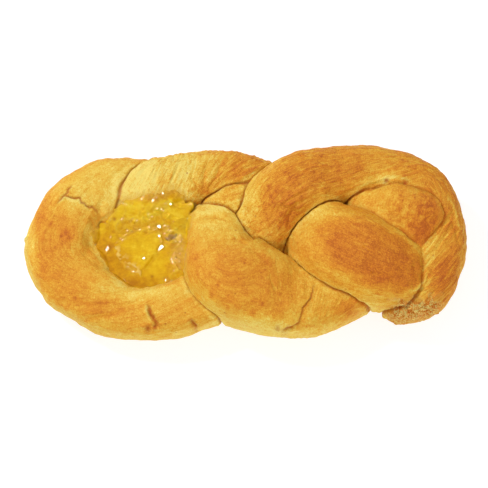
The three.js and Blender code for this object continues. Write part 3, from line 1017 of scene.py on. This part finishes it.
def group_mottle():
    """A group that gives a fine uneven value around nothing, in two sizes of blotch."""
    tree = bpy.data.node_groups.new("mottle", "ShaderNodeTree")
    tree.interface.new_socket("Place", in_out="INPUT", socket_type="NodeSocketVector")
    tree.interface.new_socket("Scale", in_out="INPUT", socket_type="NodeSocketFloat")
    tree.interface.new_socket("Value", in_out="OUTPUT", socket_type="NodeSocketFloat")
    start = tree.nodes.new("NodeGroupInput")
    end = tree.nodes.new("NodeGroupOutput")
    place, scale = start.outputs["Place"], start.outputs["Scale"]
    blotches = []
    for size, detail, rough in ((scale, 3.0, 0.6), (times(tree, scale, 4.3), 2.0, 0.5)):
        settings = {"Vector": place, "Scale": size, "Detail": detail, "Roughness": rough}
        blotches.append(node(tree, "ShaderNodeTexNoise", settings).outputs["Fac"])
    total = maths(tree, "ADD", *blotches)
    tree.links.new(maths(tree, "SUBTRACT", total, 1.0), end.inputs["Value"])
    return tree


def mottle(tree, group, place, scale):
    return node(tree, "ShaderNodeGroup", {"Place": place, "Scale": scale}, node_tree=group).outputs["Value"]


def drawn_out(tree, place, way, scale, length):
    """Fine unevenness drawn out along a direction: the same noise read at a few steps and averaged."""
    total = 0.0
    for i in range(THREAD_STEPS):
        shift = length * MM * (i / (THREAD_STEPS - 1) - 0.5)
        moved = node(tree, "ShaderNodeVectorMath", {0: way, 1: (shift, shift, shift)}, operation="MULTIPLY")
        here = node(tree, "ShaderNodeVectorMath", {0: place, 1: moved.outputs[0]}, operation="ADD")
        value = node(tree, "ShaderNodeTexNoise", {"Vector": here.outputs[0], "Scale": scale, "Detail": 1.0})
        total = maths(tree, "ADD", total, value.outputs["Fac"])
    return maths(tree, "SUBTRACT", times(tree, total, 1 / THREAD_STEPS), 0.5)


# Sizes of the fine textures, as the scales of their noises, and how far a thread is drawn out
SPOT_SCALE, GRAIN_SCALE, SCAB_SCALE, THREAD_SCALE = 450.0, 1300.0, 230.0, 1700.0
CLOUD_SCALE, JAM_GRAIN_SCALE = 260.0, 1100.0
THREAD_LENGTH, THREAD_STEPS = 4.5, 7
SCAB_SIZE, SCAB_RARE = 0.11, 0.9
CRUST_SHINE, CRUST_ROUGH = 0.1, 0.55
JAM_SHINE, JAM_ROUGH = 0.25, 0.045

SOAKED_TONE = linear(222, 172, 60)
SCAB_TONE = linear(188, 74, 10)
# Painted shade for the creases, also used as crack colour with painted shade in cracks and pits
SHADE_AND_CRACK_TONE = linear(186, 88, 24)
CHUNK_TONE = linear(206, 152, 12)
CRUST_TONES = (
    (0.00, (248, 222, 118)),
    (0.20, (240, 200, 78)),
    (0.42, (234, 171, 52)),
    (0.62, (225, 144, 36)),
    (0.82, (212, 119, 30)),
    (1.00, (190, 96, 28)),
)
# The torn end, from its caramel hollows to its pale flakes
CRUMB_TONES = (
    (0.22, (224, 112, 22)),
    (0.44, (252, 158, 42)),
    (0.58, (255, 198, 78)),
    (0.74, (255, 230, 136)),
)
JAM_COLOURS = (
    (0.00, (234, 202, 48)),
    (0.25, (225, 183, 22)),
    (0.50, (216, 165, 6)),
    (0.75, (203, 144, 2)),
    (1.00, (184, 118, 0)),
)
# Tints over the jam: the mask, its share at most, and the colour
JAM_TINTS = (
    ("rough", 0.85, (230, 190, 92)),
    # The moat tint is thicker jam colour with painted shade along the chunk's edge
    ("moat_tone_and_shade", 0.35, (190, 126, 0)),
    ("skin", 0.3, (238, 200, 60)),
    ("thin", 0.4, (216, 166, 58)),
    ("specks", 0.7, (160, 86, 10)),
    ("cavity", 0.7, (140, 104, 52)),
)


def crust_material(group):
    material, tree, shader = new_material("crust")
    place = node(tree, "ShaderNodeTexCoord").outputs["Object"]
    spots, grain = (mottle(tree, group, place, scale) for scale in (SPOT_SCALE, GRAIN_SCALE))
    threads = drawn_out(tree, place, attribute(tree, "stretch", "Vector"), THREAD_SCALE, THREAD_LENGTH)
    threads = times(tree, threads, attribute(tree, "streaky"))
    brown = summed(tree, attribute(tree, "brown"), (spots, 0.38), (threads, 2.6), (grain, 0.75))
    colour = ramp(tree, brown, CRUST_TONES)
    wet, torn = attribute(tree, "soaked"), attribute(tree, "torn")
    colour = tinted(tree, colour, wet, 0.6, SOAKED_TONE)
    cells = node(tree, "ShaderNodeTexVoronoi", {"Vector": place, "Scale": SCAB_SCALE}, feature="F1")
    small = maths(tree, "LESS_THAN", cells.outputs["Distance"], SCAB_SIZE)
    chance = node(tree, "ShaderNodeSeparateColor", {0: cells.outputs["Color"]}).outputs[0]
    scab = times(tree, small, maths(tree, "GREATER_THAN", chance, SCAB_RARE))
    colour = tinted(tree, colour, scab, 0.5, SCAB_TONE)
    crumb = ramp(tree, summed(tree, 0.5, (grain, 2.2), (spots, 2.6)), CRUMB_TONES)
    colour = tinted(tree, colour, torn, 0.95, crumb)
    # Painted shade in the creases between ropes, and crack colour with painted shade in the cracks and pits
    crease_shade = times(tree, attribute(tree, "crease_shade"), 0.75)
    crack = times(tree, attribute(tree, "cracks"), 0.9)
    colour = mix_colour(tree, maths(tree, "MAXIMUM", crease_shade, crack), colour, SHADE_AND_CRACK_TONE)
    rough = summed(tree, CRUST_ROUGH, (spots, 0.25), clamp=True)
    wet_gloss = times(tree, wet, 0.32)
    bead_gloss = times(tree, attribute(tree, "bead"), 0.6)
    rough = maths(tree, "SUBTRACT", rough, maths(tree, "MAXIMUM", wet_gloss, bead_gloss), clamp=True)
    feed(tree, shader, {"Base Color": colour, "Roughness": rough, "Specular IOR Level": CRUST_SHINE})
    crumbly = times(tree, grain, torn)
    height = summed(tree, 0.0, (spots, 0.5), (threads, 5.0), (grain, 0.8), (crumbly, 1.2))
    bumped(tree, shader, height, strength=0.8, depth=0.4)
    return material


def jam_material(group):
    material, tree, shader = new_material("jam")
    place = node(tree, "ShaderNodeTexCoord").outputs["Object"]
    clouds, grain = (mottle(tree, group, place, scale) for scale in (CLOUD_SCALE, JAM_GRAIN_SCALE))
    share = summed(tree, attribute(tree, "tone"), (clouds, 0.35), (grain, 0.4), clamp=True)
    colour = ramp(tree, share, JAM_COLOURS)
    pale = summed(tree, 0.2, (clouds, 0.8), clamp=True)
    colour = tinted(tree, colour, attribute(tree, "chunk"), pale, CHUNK_TONE)
    for name, most, tint in JAM_TINTS:
        colour = tinted(tree, colour, attribute(tree, name), most, linear(*tint))
    feed(tree, shader, {"Base Color": colour, "Roughness": JAM_ROUGH, "Specular IOR Level": JAM_SHINE})
    bumped(tree, shader, summed(tree, clouds, (grain, 0.3)), strength=0.01, depth=0.15)
    return material


# The floor, the light and the camera

CAMERA_DISTANCE = 650.0
CAMERA_ELEVATION = 72.0
CAMERA_TARGET = (0.0, 0.0, 14.0)
PHOTO_SIDE = 488
PIXELS_PER_MM = 2.227
SENSOR = 36.0
FLOOR_HALF = 1500.0
FLOOR_DROP = 0.2
FLOOR_TONE, FLOOR_ROUGH, FLOOR_GLOW = (0.35, 0.35, 0.35, 1.0), 0.9, 0.75
WHITE = (1.0, 1.0, 1.0, 1.0)
ROOM_LIGHT = 0.58
WINDOW_PLACE = (-0.62, 0.42, 0.85)
FILL_PLACE = (0.4, -0.9, 0.7)
# Lamps: name, place, size, power, and whether it shines in reflections only
LAMPS = (
    ("window", WINDOW_PLACE, 0.12, 6.5, False),
    ("fill", FILL_PLACE, 0.12, 3.0, False),
    ("window glint", WINDOW_PLACE, 0.10, 20.0, True),
    ("fill glint", FILL_PLACE, 0.08, 5.0, True),
    ("back glint", (0.10, 0.55, 1.0), 0.04, 2.5, True),
)


def build_stage():
    h = FLOOR_HALF
    floor = make_mesh("floor", [(-h, -h, 0), (h, -h, 0), (h, h, 0), (-h, h, 0)], [(0, 1, 2, 3)])
    floor.location.z = -FLOOR_DROP * MM
    material, tree, shader = new_material("pale floor")
    feed(tree, shader, {"Base Color": FLOOR_TONE, "Roughness": FLOOR_ROUGH})
    feed(tree, shader, {"Emission Color": WHITE, "Emission Strength": FLOOR_GLOW})
    floor.data.materials.append(material)


def add_lamp(name, place, size, power, only_glints):
    lamp = bpy.data.lights.new(name, "AREA")
    lamp.shape = "DISK"
    lamp.size = size
    lamp.energy = power
    thing = add_thing(name, lamp)
    thing.location = place
    thing.rotation_euler = (-Vector(place)).to_track_quat("-Z", "Y").to_euler()
    thing.visible_diffuse = not only_glints


def build_light():
    world = bpy.data.worlds.new("soft room")
    world.use_nodes = True
    feed(world.node_tree, world.node_tree.nodes["Background"], {"Color": WHITE, "Strength": ROOM_LIGHT})
    bpy.context.scene.world = world
    for lamp in LAMPS:
        add_lamp(*lamp)
    bpy.context.scene.view_settings.view_transform = "Standard"
    bpy.context.scene.view_settings.look = "None"


def build_camera():
    camera = bpy.data.cameras.new("photo")
    camera.sensor_width = SENSOR
    camera.lens = SENSOR * PIXELS_PER_MM * CAMERA_DISTANCE / PHOTO_SIDE
    camera.clip_start = 0.01
    camera.clip_end = 10.0
    thing = add_thing("photo camera", camera)
    angle = math.radians(CAMERA_ELEVATION)
    target = (Vector(CAMERA_TARGET) - Vector((*BOX_MIDDLE, 0))) * MM
    back = Vector((0, -math.cos(angle), math.sin(angle))) * CAMERA_DISTANCE * MM
    thing.location = target + back
    thing.rotation_euler = (-back).to_track_quat("-Z", "Y").to_euler()
    bpy.context.scene.camera = thing


mottle_group = group_mottle()
loaf_piece = build_dough()
jam_piece = build_jam(loaf_piece)
finish_mesh(loaf_piece, crust_material(mottle_group), "loaf")
finish_mesh(jam_piece, jam_material(mottle_group), "filling")
build_stage()
build_light()
build_camera()
